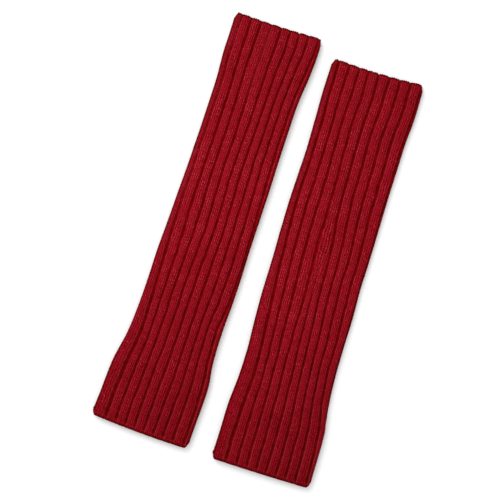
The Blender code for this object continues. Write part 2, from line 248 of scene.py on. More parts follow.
lipAngles = (45.0, 90.0, 135.0, 180.0)      # the rings of a round cuff edge
lipInside = 3.0                             # mm from a cuff edge to the ring that follows inside
innerSpacing = 42.0                         # mm between the rings of the plain inner face
innerEvery = 8                              # it has one column for so many outer ones


def eased(value, start, end):
    # 0 at the start and 1 at the end, with a soft turn at both
    t = np.clip((value - start) / (end - start), 0.0, 1.0)
    return t * t * (3.0 - 2.0 * t)


def sectionValue(leg, column, station):
    # one column of the section table, as a smooth curve along the leg
    rows = np.array(leg["sections"], float)
    at, values = rows[:, 0], rows[:, column]
    before = np.maximum(np.arange(len(at)) - 1, 0)
    after = np.minimum(np.arange(len(at)) + 1, len(at) - 1)
    slopes = (values[after] - values[before]) / (at[after] - at[before])
    row = np.clip(np.searchsorted(at, station) - 1, 0, len(at) - 2)
    span = at[row + 1] - at[row]
    t = np.clip((station - at[row]) / span, 0.0, 1.0)
    return ((2 * t ** 3 - 3 * t ** 2 + 1) * values[row] + (t ** 3 - 2 * t ** 2 + t) * slopes[row] * span
            + (3 * t ** 2 - 2 * t ** 3) * values[row + 1] + (t ** 3 - t ** 2) * slopes[row + 1] * span)


def foldRun(inward, radius):
    # distance along the loop from a fold's outermost point to a point this far in from it
    around = radius * np.arccos(1.0 - np.clip(inward, 0.0, radius) / radius)
    return np.where(inward <= 0.0, inward, around + np.maximum(inward - radius, 0.0))


def loopPoint(place, left, right, radius):
    # middle line and outward normal at a place on the flat loop, measured from the left fold over the front
    quarter = 0.5 * math.pi * radius
    half = 2.0 * quarter + right - left - 2.0 * radius
    place = place % (2.0 * half)
    run = np.where(place > half, 2.0 * half - place, place)
    side = np.where(place > half, -1.0, 1.0)
    onLeft, onRight = run < quarter, run > half - quarter
    angle = np.where(onLeft, math.pi - run / radius, np.where(onRight, (half - run) / radius, 0.5 * math.pi))
    centre = np.where(onLeft, left + radius, np.where(onRight, right - radius, left + radius + run - quarter))
    return centre, np.cos(angle), side * np.sin(angle)


def cuffEdge(leg, edge, across, s):
    # where the cuff edge lies along the leg, with its round corners
    middle, slope, bow = edge
    left, right = sectionValue(leg, 1, middle), sectionValue(leg, 2, middle)
    short = np.clip(1.0 - np.minimum(across - left, right - across) / s["cornerRadius"], 0.0, 1.0)
    corner = s["cornerRadius"] * (1.0 - (1.0 - short ** s["cornerPower"]) ** (1.0 / s["cornerPower"]))
    return middle + slope * across + bow * across ** 2 - math.copysign(1.0, middle) * corner


def waleColumns(wales, steps):
    # the columns of one rib, from the middle of its groove: half a purl wale, the knit wales, half a purl
    columns = [0.5] + [wale + step for wale in range(1, wales) for step in steps] + [float(wales)]
    return np.array(columns)


def ribSpan(wales, s):
    # where a rib's purl and knit wales begin and end: in phase, and as shares of its width
    half = 0.5 * s["purlShare"]
    return (0.5, 1.0, wales, wales + 0.5), (0.0, half, 1.0 - half, 1.0)


def strayed(random, station, s):
    # a groove's small stray from its line: a few waves of any length and start
    (least, most), count = s["wanderLength"], s["wanderWaves"]
    waves = random.uniform((least, 0.0), (most, 2.0 * math.pi), (count, 2))
    total = sum(np.sin(2.0 * math.pi * station / length + start) for length, start in waves)
    return s["grooveWander"] * total / count


def layKnitting(leg, s):
    # the smooth tube as a grid of wales and courses: where each point lies, and its place in the pattern
    random = np.random.default_rng(s["seed"])
    radius = 0.5 * s["stackHeight"]
    low, high = leg["lowerEdge"][0], leg["upperEdge"][0]
    courses = round((high - low) / s["courseLength"])
    course = np.arange(courses * rowsPerCourse + 1) / rowsPerCourse
    station = low + (high - low) * course / courses
    left = sectionValue(leg, 1, station) - leg["swell"][0]
    right = sectionValue(leg, 2, station) + leg["swell"][1]
    half = math.pi * radius + right - left - 2.0 * radius
    grooves = []
    for column in range(3, len(leg["sections"][0])):
        across = sectionValue(leg, column, station) + leg["grooveShift"]
        fromLeft = foldRun(across - left, radius)
        fromRight = half - foldRun(right - across, radius)
        grooves.append(np.where(across < 0.5 * (left + right), fromLeft, fromRight))
    frontRibs = len(grooves) - 1
    backStart, backEnd = half + leg["rightUnder"], 2.0 * half - leg["leftUnder"]
    grooves += [backStart + (backEnd - backStart) * k / leg["backRibs"] for k in range(leg["backRibs"] + 1)]
    grooves = [groove + strayed(random, station, s) for groove in grooves]

    whole = ((0, 1.0),)
    depths = [np.interp(station, *np.array(leg["faint"].get(k, whole), float).T)
              for k in range(len(grooves))]

    parts = {name: [] for name in (
        "place", "waleAt", "ribAt", "wideRibAt", "ribMerge", "purl", "grooveShare")}
    fading = leg["fading"]
    walesBefore = 0
    for k, start in enumerate(grooves):
        end = grooves[k + 1] if k + 1 < len(grooves) else grooves[0] + 2.0 * half
        onBack = frontRibs < k < len(grooves) - 1
        wales = max(3, round(float(np.mean(end - start)) / s["waleWidth"]))
        if k < frontRibs or onBack:
            wales = s["ribWales"]
        w = waleColumns(wales, backSteps if onBack else knitSteps)
        phases, shares = ribSpan(wales, s)
        share = np.broadcast_to(np.interp(w, phases, shares), (len(station), len(w)))
        at = start[:, None] + (end - start)[:, None] * share
        w = np.broadcast_to(w, share.shape)
        wide, grown, groovePurl = share, np.zeros_like(share), np.where(w == 0.5, 1.0, 0.0)
        if fading and k in (fading["groove"] - 1, fading["groove"]):
            first, last = grooves[fading["groove"] - 1], grooves[fading["groove"] + 1]
            wide = (at - first[:, None]) / (last - first)[:, None]
            apart = eased(station, fading["goneAt"], fading["fullAt"])[:, None]
            grown = np.broadcast_to(1.0 - apart, share.shape)
            before = wales if k == fading["groove"] else 0
            w = apart * (w + before) + (1.0 - apart) * np.interp(wide, shares, phases) - before
            if before:
                groovePurl = groovePurl * apart
        turnFrom, turnOver = s["depthTurn"]
        t = np.clip((share - turnFrom) / turnOver, 0.0, 1.0)
        deep = depths[k][:, None] * (1.0 - t) + depths[(k + 1) % len(depths)][:, None] * t
        values = (at, w + walesBefore, share, wide, grown, groovePurl, deep)
        for columns, value in zip(parts.values(), values):
            columns.append(value)
        walesBefore += wales
    grid = {name: np.concatenate(columns, axis=1) for name, columns in parts.items()}
    centre, normalX, normalZ = loopPoint(grid.pop("place"), left[:, None], right[:, None], radius)
    return dict(grid, station=station, course=course, courses=courses, centre=centre, normalX=normalX,
                normalZ=normalZ, loop=2.0 * half)


def turned(leg):
    # the leg's lean as a turn of the plane
    lean = math.radians(leg["lean"])
    return np.array([[math.cos(lean), -math.sin(lean)], [math.sin(lean), math.cos(lean)]])


def placed(leg, points):
    # points of the leg, moved to where it lies
    points = points.copy()
    points[:, :2] = points[:, :2] @ turned(leg).T + np.array(leg["place"])
    return points


def addPiece(name, mesh):
    mesh.update()
    piece = bpy.data.objects.new(name, mesh)
    scene.collection.objects.link(piece)
    return piece


def alongLeg(leg, across, station, s):
    # a grid point's distance along the leg, so that the first and last rows follow the cuff edges
    low, high = leg["lowerEdge"][0], leg["upperEdge"][0]
    lowAt, highAt = cuffEdge(leg, leg["lowerEdge"], across, s), cuffEdge(leg, leg["upperEdge"], across, s)
    return lowAt + (highAt - lowAt) * (station - low) / (high - low)


def softTroughs(leg, across, along, normalZ):
    # the height that the leg's soft dips and swells give, in mm
    height = np.zeros_like(across)
    for at, side, length, width, turn, rise, face in leg["troughs"]:
        angle = math.radians(turn)
        a = (along - at) * math.cos(angle) + (across - side) * math.sin(angle)
        b = (across - side) * math.cos(angle) - (along - at) * math.sin(angle)
        height += rise * np.exp(-(a / length) ** 2 - (b / width) ** 2) * np.clip(face * normalZ, 0.0, 1.0)
    return height


def band(start, count):
    # the faces between a ring of points and the next one
    a, b = start + np.arange(count), start + (np.arange(count) + 1) % count
    return np.stack([a, b, b + count, a + count], axis=1).tolist()


def buildTube(leg, s):
    # one closed tube: a stack of rings from inside the lower cuff, out over the ribbed face, back inside
    grid = layKnitting(leg, s)
    radius = 0.5 * s["stackHeight"]
    rows, columns = grid["centre"].shape
    low, high = leg["lowerEdge"][0], leg["upperEdge"][0]

    def ringPoints(row, depth, beyond):
        # the row's points sunk below the smooth loop, and moved along the leg
        nx, nz = grid["normalX"][row], grid["normalZ"][row]
        across = grid["centre"][row] + (radius - depth) * nx
        along = alongLeg(leg, grid["centre"][row] + radius * nx, grid["station"][row], s) + beyond
        up = radius + (radius - depth) * nz
        return np.stack([across, along, up], axis=1)

    def mouthRadius(fromEdge):
        opening = max(0.0, 1.0 - fromEdge / s["mouthDeep"]) ** 2
        return 0.5 * (s["hollow"] + (s["mouth"] - s["hollow"]) * opening)

    def lipRings(row, way):
        # from the outer face round the cuff edge to a little inside it
        wall = radius - mouthRadius(0.0)
        rings = [ringPoints(row, 0.5 * wall * (1.0 - math.cos(math.radians(a))),
                            way * s["lipBulge"] * math.sin(math.radians(a))) for a in lipAngles]
        return rings + [ringPoints(row, radius - mouthRadius(lipInside), -lipInside * way)]

    outer = [ringPoints(row, 0.0, 0.0) for row in range(rows)]
    for row, ring in enumerate(outer):
        ring[:, 2] += softTroughs(leg, ring[:, 0], ring[:, 1], grid["normalZ"][row])
    lowerLip, upperLip = lipRings(0, -1.0), lipRings(rows - 1, 1.0)
    stack = lowerLip[::-1] + outer + upperLip
    stackRow = [0] * len(lowerLip) + list(range(rows)) + [rows - 1] * len(upperLip)
    fade = [0.5 + 0.5 * math.cos(math.radians(a)) for a in lipAngles] + [0.0]
    stackWeight = fade[::-1] + [1.0] * rows + fade

    picked = np.arange(0, columns, innerEvery)
    steps = round((high - low) / innerSpacing)
    inner = [ringPoints(round((rows - 1) * k / steps), radius - mouthRadius(innerSpacing), 0.0)[picked]
             for k in reversed(range(1, steps))]

    points = np.concatenate(stack + inner)
    faces = []
    for ring in range(len(stack) - 1):
        faces += band(ring * columns, columns)
    topFine, topCoarse = (len(stack) - 1) * columns, len(stack) * columns
    coarse = len(picked)
    for ring in range(len(inner) - 1):
        faces += band(topCoarse + ring * coarse, coarse)
    bottomCoarse = topCoarse + (len(inner) - 1) * coarse
    for j, start in enumerate(picked):
        after = (j + 1) % coarse
        end = columns if after == 0 else picked[after]
        for m in range(start, end):
            faces.append([topFine + m, topFine + (m + 1) % columns, topCoarse + j])
            faces.append([bottomCoarse + j, (m + 1) % columns, m])
        faces.append([topFine + end % columns, topCoarse + after, topCoarse + j])
        faces.append([bottomCoarse + j, bottomCoarse + after, end % columns])

    spare = len(points) - len(stack) * columns      # the inner face has no pattern
    outAcross, outUp = grid["normalX"][stackRow].ravel(), grid["normalZ"][stackRow].ravel()
    outward = np.stack([outAcross, np.zeros_like(outUp), outUp], axis=1)
    outward[:, :2] = outward[:, :2] @ turned(leg).T
    fromEdge = np.minimum(grid["station"] - low, high - grid["station"])
    isLower = grid["station"] < 0.5 * (low + high)
    cuffs = [np.array(s[cuff] + s[line])[:, None] for cuff, line in (
        ("lowerCuff", "lowerLine"), ("upperCuff", "upperLine"))]
    edgeShare, flatTo, wholeAt, pull, lineTo, lineEnd = np.where(isLower, *cuffs)
    perRow = {
        "courseAt": grid["course"], "fromEdge": fromEdge * mm, "edgeLight": eased(fromEdge, lineTo, lineEnd),
        "cuffShare": edgeShare + (1.0 - edgeShare) * eased(fromEdge, flatTo, wholeAt),
        "edgePull": pull * np.where(isLower, mm, -mm) * np.clip(1.0 - fromEdge / wholeAt, 0.0, 1.0),
        "slantShare": np.clip((grid["station"] - s["straightTo"]) / s["slantGrows"], s["cuffSlant"], 1.0),
        "toneAt": np.interp(grid["station"], *np.array(leg["tone"]).T),
        "foldWide": np.interp(grid["station"], *np.array(leg["leftFoldWide"]).T),
    }

    mesh = bpy.data.meshes.new(leg["node"])
    mesh.from_pydata((placed(leg, points) * mm).tolist(), [], faces)
    values = {name: np.repeat(row[stackRow], columns) for name, row in perRow.items()}
    for name in ("waleAt", "ribAt", "wideRibAt", "ribMerge", "purl", "grooveShare"):
        values[name] = grid[name][stackRow].ravel()
    # painted shade at the fold outlines (foldLight, rimAt) and at the cuff edges (edgeLight, rimAt)
    isLeft = outAcross < 0.0
    fromOutline = radius * (1.0 - np.sqrt(np.clip(1.0 - outUp ** 2, 0.0, 1.0)))
    folds = [np.array(fold)[:, None] for fold in leg["folds"]]
    yarnTo, darkFrom, rimReach, rimShare = np.where(isLeft, *folds)
    yarnTo = yarnTo * np.where(isLeft, values.pop("foldWide"), 1.0)
    values["foldLight"] = eased(fromOutline, darkFrom, yarnTo)
    edge = np.clip(1.0 - values["fromEdge"] / (s["rimWide"] * mm), 0.0, 1.0)
    values["rimAt"] = np.maximum(rimShare * np.clip(1.0 - fromOutline / rimReach, 0.0, 1.0), edge)
    values["grooveShare"] *= values.pop("cuffShare")
    values["toneAt"] = values["toneAt"] + leg["toneTilt"] * grid["centre"][stackRow].ravel()
    values["outside"] = np.repeat(stackWeight, columns)
    for name, value in values.items():
        attribute = mesh.attributes.new(name, "FLOAT", "POINT")
        attribute.data.foreach_set("value", np.pad(value, (0, spare)).astype(np.float32))
    attribute = mesh.attributes.new("outward", "FLOAT_VECTOR", "POINT")
    attribute.data.foreach_set("vector", np.pad(outward, ((0, spare), (0, 0))).astype(np.float32).ravel())
    tube = addPiece(leg["node"] + "_knit", mesh)
    flat = (float(np.mean(grid["loop"])) * mm, (high - low) * mm)
    print("laid out", tube.name, columns, "columns,", grid["courses"], "courses, flat size", flat)

    chainRings = []
    for row, way, cuff, out in zip((0, rows - 1), (-1.0, 1.0), ("lowerCuff", "upperCuff"), s["chainOut"]):
        dome = np.sqrt(1.0 - np.abs(2.0 * grid["ribAt"][row] - 1.0) ** reliefSet["Rib roundness"])
        chainRings.append(ringPoints(row, s["chainDeep"], way * (out - s[cuff][3] * (1.0 - dome))))
    loops = round(float(np.mean(grid["loop"])) / s["chainEvery"])
    return tube, flat, [placed(leg, ring) * mm for ring in chainRings], loops


def inputsOf(tree):
    return {item.name: item for item in tree.interface.items_tree
            if item.item_type == "SOCKET" and item.in_out == "INPUT"}


def newTree(name, sockets):
    # a geometry tree, what adds nodes to it, its named inputs and its output
    tree = bpy.data.node_groups.new(name, "GeometryNodeTree")
    tree.interface.new_socket("Geometry", in_out="INPUT", socket_type="NodeSocketGeometry")
    for label, kind in sockets:
        tree.interface.new_socket(label, in_out="INPUT", socket_type="NodeSocket" + kind)
    tree.interface.new_socket("Geometry", in_out="OUTPUT", socket_type="NodeSocketGeometry")
    add = functools.partial(addNode, tree)
    return tree, add, add("NodeGroupInput").outputs, add("NodeGroupOutput")


def endTree(tree, add, given, result, geometry):
    # the end of both trees: the geometry smooth, real and in its yarn
    smooth = add("GeometryNodeSetShadeSmooth", {"Geometry": geometry})
    real = add("GeometryNodeRealizeInstances", {"Geometry": smooth})
    dyed = add("GeometryNodeSetMaterial", {"Geometry": real, "Material": given["Yarn"]})
    tree.links.new(dyed.outputs[0], result.inputs[0])
    return tree


def applyTree(piece, tree, values):
    # runs the tree on the piece and keeps the result as a plain mesh
    modifier = piece.modifiers.new(tree.name, "NODES")
    modifier.node_group = tree
    for name, item in inputsOf(tree).items():
        if name in values:
            modifier[item.identifier] = values[name]
    graph = bpy.context.evaluated_depsgraph_get()
    mesh = bpy.data.meshes.new_from_object(piece.evaluated_get(graph), preserve_all_data_layers=True,
                                           depsgraph=graph)
    piece.modifiers.clear()
    old, piece.data = piece.data, mesh
    if old.users == 0:
        bpy.data.meshes.remove(old)
    mesh.calc_loop_triangles()
    print("tree", tree.name, "made", piece.name, len(mesh.loop_triangles), "triangles")


def knitReliefTree():
    # raises the ribs and the V stitches out of the smooth tube
    tree, add, given, result = newTree("knitRelief", [(name, "Float") for name in reliefSet] + [
        ("Along the leg", "Vector"), ("Yarn", "Material")])
    stored = {name: add("GeometryNodeInputNamedAttribute", {"Name": name}, data_type="FLOAT") for name in (
        "ribAt", "wideRibAt", "ribMerge", "waleAt", "courseAt", "purl", "outside", "fromEdge", "grooveShare",
        "edgePull", "slantShare")}
    outward = add("GeometryNodeInputNamedAttribute", {"Name": "outward"}, data_type="FLOAT_VECTOR")
    calc, ramp, mix = "ShaderNodeMath", "ShaderNodeMapRange", "ShaderNodeMix"

    # rib: a flat topped dome between two grooves, and the grown rib where a groove has faded
    domes = []
    for name in ("ribAt", "wideRibAt"):
        twice = add(calc, {0: stored[name], 1: 2.0, 2: -1.0}, operation="MULTIPLY_ADD")
        size = add(calc, {0: twice}, operation="ABSOLUTE")
        power = add(calc, {0: size, 1: given["Rib roundness"]}, operation="POWER")
        rest = add(calc, {0: 1.0, 1: power}, operation="SUBTRACT", use_clamp=True)
        domes.append(add(calc, {0: rest}, operation="SQRT"))
    front = add(mix, {"Factor": stored["ribMerge"], "A": domes[0], "B": domes[1]})
    other = add(calc, {0: 1.0, 1: stored["ribAt"]}, operation="SUBTRACT")
    nearest = add(calc, {0: stored["ribAt"], 1: other}, operation="MINIMUM")
    flat = add(calc, {0: nearest, 1: given["Underside groove share"]}, operation="DIVIDE", use_clamp=True)
    normal = add("ShaderNodeSeparateXYZ", {0: outward})
    under = add(calc, {0: normal.outputs["Z"], 1: -1.0}, operation="MULTIPLY", use_clamp=True)
    rib = add(mix, {"Factor": under, "A": front, "B": flat})
    depth = add(mix, {"Factor": under, "A": given["Groove depth"], "B": given["Underside groove depth"]})
    whole = add(calc, {0: 1.0, 1: rib}, operation="SUBTRACT")
    hollow = add(calc, {0: whole, 1: stored["grooveShare"]}, operation="MULTIPLY")
    groove = add(calc, {0: hollow, 1: depth}, operation="MULTIPLY")
    shown = add(calc, {0: 1.0, 1: hollow}, operation="SUBTRACT")

    # lip: the outer face is drawn in to the round cuff edge
    lipAt = add(ramp, {
        "Value": stored["fromEdge"], "From Max": given["Lip width"], "To Min": 1.0, "To Max": 0.0})
    lipCurve = add(calc, {0: lipAt, 1: 2.0}, operation="POWER")
    lip = add(calc, {0: lipCurve, 1: given["Lip depth"]}, operation="MULTIPLY")
    sunk = add(calc, {0: groove, 1: lip}, operation="MAXIMUM")

    # stitch: two lobes of yarn to a wale, with a narrow gap at each course
    across = add(calc, {0: stored["waleAt"]}, operation="FRACT")
    turn = add(calc, {0: across, 1: 2.0 * math.pi}, operation="MULTIPLY")
    wave = add(calc, {0: turn}, operation="SINE")
    size = add(calc, {0: wave}, operation="ABSOLUTE")
    isRight = add(calc, {0: across, 1: 0.5}, operation="GREATER_THAN")
    strength = add(mix, {"Factor": isRight, "A": 1.0, "B": given["Right lobe"]})
    lobe = add(calc, {0: size, 1: strength}, operation="MULTIPLY")
    along = add(calc, {0: stored["courseAt"]}, operation="FRACT")
    toCome = add(calc, {0: 1.0, 1: along}, operation="SUBTRACT")
    near = add(calc, {0: along, 1: toCome}, operation="MINIMUM")
    yarn = add(calc, {0: near, 1: rowsPerCourse}, operation="MULTIPLY", use_clamp=True)
    bridge = add(ramp, {"Value": yarn, "To Min": given["Course gap"]})
    raised = add(calc, {0: lobe, 1: bridge}, operation="MULTIPLY")
    arm = add(calc, {0: across, 1: 2.0, 2: -1.0}, operation="MULTIPLY_ADD")
    armSize = add(calc, {0: arm}, operation="ABSOLUTE")
    pit = add(ramp, {"Value": armSize, "To Min": given["V middle"], "To Max": 0.0})
    knit = add(calc, {0: raised, 1: pit}, operation="MAXIMUM")
    purlBump = add(calc, {0: yarn, 1: given["Purl bump"]}, operation="MULTIPLY")
    stitch = add(mix, {"Factor": stored["purl"], "A": knit, "B": purlBump})
    fade = add(ramp, {
        "Value": stored["fromEdge"], "From Max": given["Lip width"], "To Min": given["Cuff edge"]})
    faded = add(calc, {0: stitch, 1: fade}, operation="MULTIPLY")
    lifted = add(calc, {0: faded, 1: given["Stitch height"]}, operation="MULTIPLY")
    settled = add(calc, {0: lifted, 1: given["Stitch sink"]}, operation="SUBTRACT")

    # the hand of the yarn: every stitch sits a little higher or lower
    place = add("GeometryNodeInputPosition")
    grain = add(calc, {0: 1.0, 1: given["Uneven size"]}, operation="DIVIDE")
    noise = add("ShaderNodeTexNoise", {"Vector": place, "Scale": grain, "Detail": 2.0})
    level = add(calc, {0: noise.outputs[0], 1: 0.5}, operation="SUBTRACT")
    uneven = add(calc, {0: level, 1: given["Unevenness"]}, operation="MULTIPLY")
    height = add(calc, {0: settled, 1: uneven}, operation="ADD")
    net = add(calc, {0: height, 1: sunk}, operation="SUBTRACT")
    amount = add(calc, {0: net, 1: stored["outside"]}, operation="MULTIPLY")
    push = add("ShaderNodeVectorMath", {0: outward, "Scale": amount}, operation="SCALE")

    # along the leg: the arms of each V, and the scalloped cuff edge
    isKnit = add(calc, {0: 1.0, 1: stored["purl"]}, operation="SUBTRACT")
    rise = add(calc, {0: armSize, 1: 0.5}, operation="SUBTRACT")
    edgeFree = add(ramp, {"Value": stored["fromEdge"], "From Max": given["V fade"]})
    for factor in (isKnit, given["V slant"], stored["slantShare"], edgeFree, stored["outside"]):
        rise = add(calc, {0: rise, 1: factor}, operation="MULTIPLY")
    draw = add(calc, {0: whole, 1: stored["edgePull"]}, operation="MULTIPLY")
    shift = add(calc, {0: rise, 1: draw}, operation="ADD")
    slide = add("ShaderNodeVectorMath", {0: given["Along the leg"], "Scale": shift}, operation="SCALE")
    offset = add("ShaderNodeVectorMath", {0: push, 1: slide}, operation="ADD")

    keepRib = add("GeometryNodeStoreNamedAttribute", {
        "Geometry": given["Geometry"], "Name": "ribHeight", "Value": shown}, data_type="FLOAT")
    moved = add("GeometryNodeSetPosition", {"Geometry": keepRib, "Offset": offset})
    # what would sink below the table is pressed flat on it
    parts = add("ShaderNodeSeparateXYZ", {0: add("GeometryNodeInputPosition")})
    floorZ = add(calc, {0: parts.outputs["Z"], 1: 0.0}, operation="MAXIMUM")
    onTable = add("ShaderNodeCombineXYZ", {"X": parts.outputs["X"], "Y": parts.outputs["Y"], "Z": floorZ})
    pressed = add("GeometryNodeSetPosition", {"Geometry": moved, "Position": onTable})
    return endTree(tree, add, given, result, pressed)


# Cuff edge: the chain of cast-on or bound-off loops, one to a wale.
chainSet = {
    "Loop length": 2.7 * mm,
    "Loop thickness": 1.5 * mm,
    "Loop lean": math.radians(16.0),
    "Size change": 0.22,
    "Seed": 3,
}


def cuffChainTree():
    # strings plump leaning loops along the edge rings
    tree, add, given, result = newTree("cuffChain", [
        ("Loops", "Int"), ("Loop length", "Float"), ("Loop thickness", "Float"), ("Loop lean", "Float"),
        ("Size change", "Float"), ("Seed", "Int"), ("Yarn", "Material")])
    ring = add("GeometryNodeMeshToCurve", {"Mesh": given["Geometry"]})
    upright = add("GeometryNodeSetCurveNormal", {"Curve": ring}, mode="Z_UP")
    stops = add("GeometryNodeCurveToPoints", {"Curve": upright, "Count": given["Loops"]}, mode="COUNT")
    ball = add("GeometryNodeMeshUVSphere", {"Segments": 8, "Rings": 6, "Radius": 0.5})
    size = add("ShaderNodeCombineXYZ", {
        "X": given["Loop thickness"], "Y": given["Loop thickness"], "Z": given["Loop length"]})
    loop = add("GeometryNodeTransform", {"Geometry": ball, "Scale": size})
    lean = add("ShaderNodeCombineXYZ", {"X": given["Loop lean"], "Y": given["Loop lean"]})
    turn = add("FunctionNodeRotateRotation", {
        "Rotation": stops.outputs["Rotation"], "Rotate By": lean}, rotation_space="LOCAL")
    least = add("ShaderNodeMath", {0: 1.0, 1: given["Size change"]}, operation="SUBTRACT")
    chance = add("FunctionNodeRandomValue", {2: least, 3: 1.0, "Seed": given["Seed"]}, data_type="FLOAT")
    strung = add("GeometryNodeInstanceOnPoints", {
        "Points": stops, "Instance": loop, "Rotation": turn, "Scale": chance.outputs[1]})
    return endTree(tree, add, given, result, strung)


def layChain(name, rings):
    # the two edge rings of a leg as loops of edges
    mesh = bpy.data.meshes.new(name)
    count = len(rings[0])
    edges = [(ring * count + k, ring * count + (k + 1) % count)
             for ring in range(len(rings)) for k in range(count)]
    mesh.from_pydata(np.concatenate(rings).tolist(), edges, [])
    return addPiece(name, mesh)


# Yarn: a worsted wool blend, plied, dyed deep red and washed. It gives the eye a matt, slightly hairy
# surface of short slanted strokes; light and shade are painted into its colour: lit and shaded strokes,
# lighter on the ribs, and a painted shade of dark wine red between them.
yarnSet = {
    # lit and shade are painted light and shade; groove, rim and chain are painted shade
    "lit": "#B51A2C", "shade": "#5C0004", "groove": "#6E0002", "rim": "#440004", "chain": "#5A0206",
    "paintedHighlight": "#B53542", "paintedHighlightFrom": 0.65, "paintedHighlightTo": 1.3,     # a painted highlight on the lightest strokes, and the levels it spans
    "roughness": 0.95, "specular": 0.02,
    "sheen": 0.03, "sheenRoughness": 0.5, "sheenTint": "#E06A62",
    # the strokes, painted light and shade: their light, how each differs, how much fainter they are
    # where the tone is darker, their mean light, which a felted patch keeps, their lean in wales a course
    # (most lean to the upper left), how light their ends are, and their height in mm
    "strokeLight": 0.47, "strokeChange": 0.35, "strokeByTone": 2.0, "strokeMean": 0.4,
    "strokeLean": (-0.3, 0.9), "strokeEnd": 0.4, "strokeHeight": 0.12,
    "plainPatch": 9.0, "plainest": 0.45,        # mm, patches where the wash has felted the strokes together
    "level": 0.23, "columnLight": 0.25,         # the light of it all, and of the round of a whole wale
    "strand": (0.5, 2.0), "strandChange": 0.26, "strandCurl": 0.6,      # mm across and along: single plies
    "flankTo": 0.29, "flankDark": 0.12,         # a rib's first wale, in the shade of the groove
    "shoulderAt": 0.8, "shoulderWide": 0.14, "shoulderLight": -0.07,    # and its last one
    # painted sheen along both sides of a rib: where, how wide and how pale; more where the tone is darker
    "paintedSheen": "#A85A60", "paintedSheenSides": ((0.2, 0.14, 0.055), (0.84, 0.12, 0.04)), "paintedSheenByTone": 6.0,
    "strayFrom": 7.0, "stray": (0.25, 0.4),     # mm, and stitches: how unevenly the rows lie
    "dyePatch": 22.0, "dyeChange": 0.04,        # mm, soft lighter and darker patches of dye
    "ribFrom": 0.0, "ribTo": 0.85,              # where the groove's dark turns to yarn, up the rib
    "grooveTone": 1.1,                          # how much of the tone the grooves take
    # mm, the uneven patches of a groove; how ragged its sides are there, and how its dark changes
    "grooveGrain": 4.5, "grooveStray": 0.22, "grooveChange": 0.4,
    # how dark the painted shade line at a cuff edge is
    "lipDark": 0.95,
    # mm, tufts of hair; single hairs, of about 0.03 mm, are too fine to show, so they are drawn coarser
    "hairSize": 0.55, "hairBump": 0.10, "hairChange": 0.1,
}


def newMaterial(name, constants):
    # a material with these constants on its surface shader, and what adds nodes to it
    material = bpy.data.materials.new(name)
    material.use_nodes = True
    shader = material.node_tree.nodes["Principled BSDF"]
    for socket, value in constants.items():
        shader.inputs[socket].default_value = value
    tree = material.node_tree
    return material, tree, shader, functools.partial(addNode, tree)


def woolSurface(s):
    # what all the wool has in common
    return {"Roughness": s["roughness"], "Specular IOR Level": s["specular"], "Sheen Weight": s["sheen"],
            "Sheen Roughness": s["sheenRoughness"], "Sheen Tint": linear(s["sheenTint"])}


